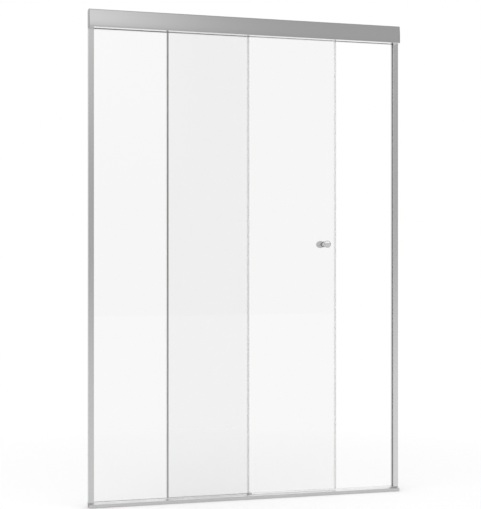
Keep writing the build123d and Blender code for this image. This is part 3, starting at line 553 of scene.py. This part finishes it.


# The chrome follows the turning: its lines run round the axis. The flat ends are painted much paler
# than the sides, a painted highlight.
turning_lines = 2600.0
glass_middle = -6 * mm
flat_end = (48.5 * mm, 49.0 * mm)
chrome, tree, shader = new_finish("chrome", {"Metallic": 1.0})
place = object_place(tree, centre=(knob_axis.x, 0.0, knob_axis.z))
reach = reach_from_axis(tree, place)
circles = add(tree, "CombineXYZ", X=maths(tree, "MULTIPLY", reach, turning_lines),
              Y=maths(tree, "MULTIPLY", add(tree, "SeparateXYZ", Vector=place).outputs[1], turning_lines))
lathe = add(tree, "TexNoise", Vector=circles.outputs[0], Scale=1.0, Detail=2.0).outputs[0]
prints = add(tree, "TexNoise", Vector=place, Scale=90.0, Detail=4.0).outputs[0]
along = add(tree, "SeparateXYZ", Vector=place).outputs[1]
from_glass = maths(tree, "ABSOLUTE", maths(tree, "ADD", along, -glass_middle))
# Painted highlight: the flat ends of the knobs are painted near white.
painted_highlight_ends = spread(tree, from_glass, 0.0, 1.0, *flat_end)
sides = blend_colours(tree, spread(tree, prints, 0.0, 1.0, 0.4, 0.65), 0.46, 0.54)
put(tree, shader.inputs["Base Color"], blend_colours(tree, painted_highlight_ends, sides, 0.94))
put(tree, shader.inputs["Roughness"], spread(tree, prints, 0.05, 0.14, 0.4, 0.7))
bump = add(tree, "Bump", Height=lathe, Strength=0.08, Distance=0.01 * mm)
put(tree, shader.inputs["Normal"], bump.outputs[0])
for name, way in (("knob_outer", -1), ("knob_inner", 1)):
    low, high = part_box(name)
    seat = high.y if way < 0 else low.y
    knob = finish_mesh(turned_knob(seat, way), "turned_" + name, chrome, "door")
    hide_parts(name)

# Knob fixings: a steel stud through a clear bush in the glass, with a soft clear gasket under each
# rose.
dress("knob_stud", turned_steel)
dress("knob_bush", moulded_clear)
dress("knob_gaskets", clear_seal)

# Floor: a plain pale floor that keeps the screen's shadow. To the camera, in metal and through glass
# it is white, and far off it turns into the white of the background.
floor_reach = 14.0
floor_drop = 0.3 * mm
floor_fades = (0.6, 1.8)
shape = bmesh.new()
bmesh.ops.create_grid(shape, x_segments=8, y_segments=8, size=floor_reach)
bmesh.ops.translate(shape, verts=shape.verts, vec=(0, 0, -floor_drop))
mesh = bpy.data.meshes.new("studio_floor")
shape.to_mesh(mesh)
shape.free()
floor = bpy.data.objects.new("studio_floor", mesh)
bpy.context.scene.collection.objects.link(floor)
floor_paint, tree, shader = new_finish("floor_paint", {"Roughness": 0.9, "Specular IOR Level": 0.0})
path = add(tree, "LightPath").outputs
seen = maths(tree, "MAXIMUM", maths(tree, "MAXIMUM", path["Is Camera Ray"], path["Is Glossy Ray"]),
             path["Is Transmission Ray"])
put(tree, shader.inputs["Base Color"], blend_colours(tree, seen, 0.8, 0.98))
far = add(tree, "VectorMath", {"operation": "LENGTH"})
put(tree, far.inputs[0], object_place(tree))
white = add(tree, "Emission", Color=(1, 1, 1, 1), Strength=1.0)
mix = add(tree, "MixShader")
faded = spread(tree, far.outputs["Value"], 0.0, 1.0, *floor_fades)
put(tree, mix.inputs[0], maths(tree, "MULTIPLY", seen, faded))
put(tree, mix.inputs[1], shader.outputs[0])
put(tree, mix.inputs[2], white.outputs[0])
put(tree, tree.nodes["Material Output"].inputs["Surface"], mix.outputs[0])
floor.data.materials.append(floor_paint)

# Background: white to the camera and through glass. Reflections see a white room that is brighter
# than white high at the front left, with soft grey shade at the front right, low in front and overhead.
world = bpy.data.worlds.new("studio")
bpy.context.scene.world = world
world.use_nodes = True
tree = world.node_tree
path = add(tree, "LightPath").outputs
way = add(tree, "SeparateXYZ", Vector=add(tree, "TexCoord").outputs["Generated"]).outputs
plain_light = 0.88
shade_light = 0.58
glow_light = 0.3
ceiling_light = -0.2
in_front = spread(tree, way[1], 0.0, 1.0, -0.05, -0.5)
to_right = spread(tree, way[0], 0.0, 1.0, 0.175, 0.215)
low_down = spread(tree, way[2], 1.0, 0.0, 0.06, 0.18)
overhead = maths(tree, "MULTIPLY", spread(tree, way[2], 0.0, 1.0, 0.55, 0.75),
                 spread(tree, way[1], 1.0, 0.0, 0.2, 0.45))
front_shade = maths(tree, "MULTIPLY", in_front, maths(tree, "MAXIMUM", to_right, low_down))
shaded = maths(tree, "MAXIMUM", overhead, front_shade)
high_up = spread(tree, way[2], 0.0, 1.0, 0.14, 0.2)
glow = maths(tree, "MULTIPLY", maths(tree, "MULTIPLY", in_front, high_up),
             spread(tree, way[0], glow_light, 0.0, 0.10, 0.15))
ceiling = maths(tree, "MULTIPLY", overhead, ceiling_light)
room = maths(tree, "ADD", maths(tree, "ADD", spread(tree, shaded, 1.0, shade_light), glow), ceiling)
seen = maths(tree, "MAXIMUM", path["Is Camera Ray"], path["Is Transmission Ray"])
glossy = path["Is Glossy Ray"]
soft_light = maths(tree, "MULTIPLY", maths(tree, "SUBTRACT", 1.0, glossy), plain_light)
mirrored = maths(tree, "ADD", maths(tree, "MULTIPLY", glossy, room), soft_light)
unseen = maths(tree, "SUBTRACT", 1.0, seen)
strength = maths(tree, "ADD", seen, maths(tree, "MULTIPLY", unseen, mirrored))
put(tree, tree.nodes["Background"].inputs["Color"], (1.0, 1.0, 1.0, 1.0))
put(tree, tree.nodes["Background"].inputs["Strength"], strength)


def softbox(name, place, towards, width, height, brightness):
    """A soft rectangular lamp of a given brightness, pointed at a place."""
    light = bpy.data.lights.new(name, "AREA")
    light.shape = "RECTANGLE"
    light.size, light.size_y = width, height
    light.energy = brightness * pi * width * height
    lamp = bpy.data.objects.new(name, light)
    lamp.matrix_world = Matrix.Translation(place) @ (Vector(towards) - Vector(place)).to_track_quat(
        "-Z", "Y").to_matrix().to_4x4()
    lamp.visible_camera = False
    lamp.visible_transmission = False
    lamp.visible_glossy = False
    bpy.context.scene.collection.objects.link(lamp)


# Two softboxes: one overhead, which gives the floor its shadow, and one by the camera on the left.
softbox("overhead", place=(-0.5, -0.9, 3.6), towards=(0.0, 0.0, 0.0), width=2.6, height=1.6,
        brightness=1.8)
softbox("front_left", place=(-1.0, -4.3, 3.0), towards=(-0.2, 0.0, 1.4), width=2.4, height=1.3,
        brightness=1.0)

# Camera: at a seated eye height, left of the screen and turned a little to the right, level, with
# the view shifted up a touch.
frame_height = 509.0
focal_pixels = 1100.0
raised_pixels = 7.58
sensor = 36.0
camera_place = (-1.0722, -3.9932, 0.8875)
camera_turn = radians(-14.635)
lens = bpy.data.cameras.new("camera")
lens.sensor_width = sensor
lens.lens = focal_pixels * sensor / frame_height
lens.shift_y = raised_pixels / frame_height
lens.clip_end = 60.0
camera = bpy.data.objects.new("camera", lens)
camera.matrix_world = (Matrix.Translation(camera_place) @ Matrix.Rotation(camera_turn, 4, "Z")
                       @ Matrix.Rotation(radians(90.0), 4, "X"))
bpy.context.scene.collection.objects.link(camera)
bpy.context.scene.camera = camera
bpy.context.scene.view_settings.view_transform = "Standard"
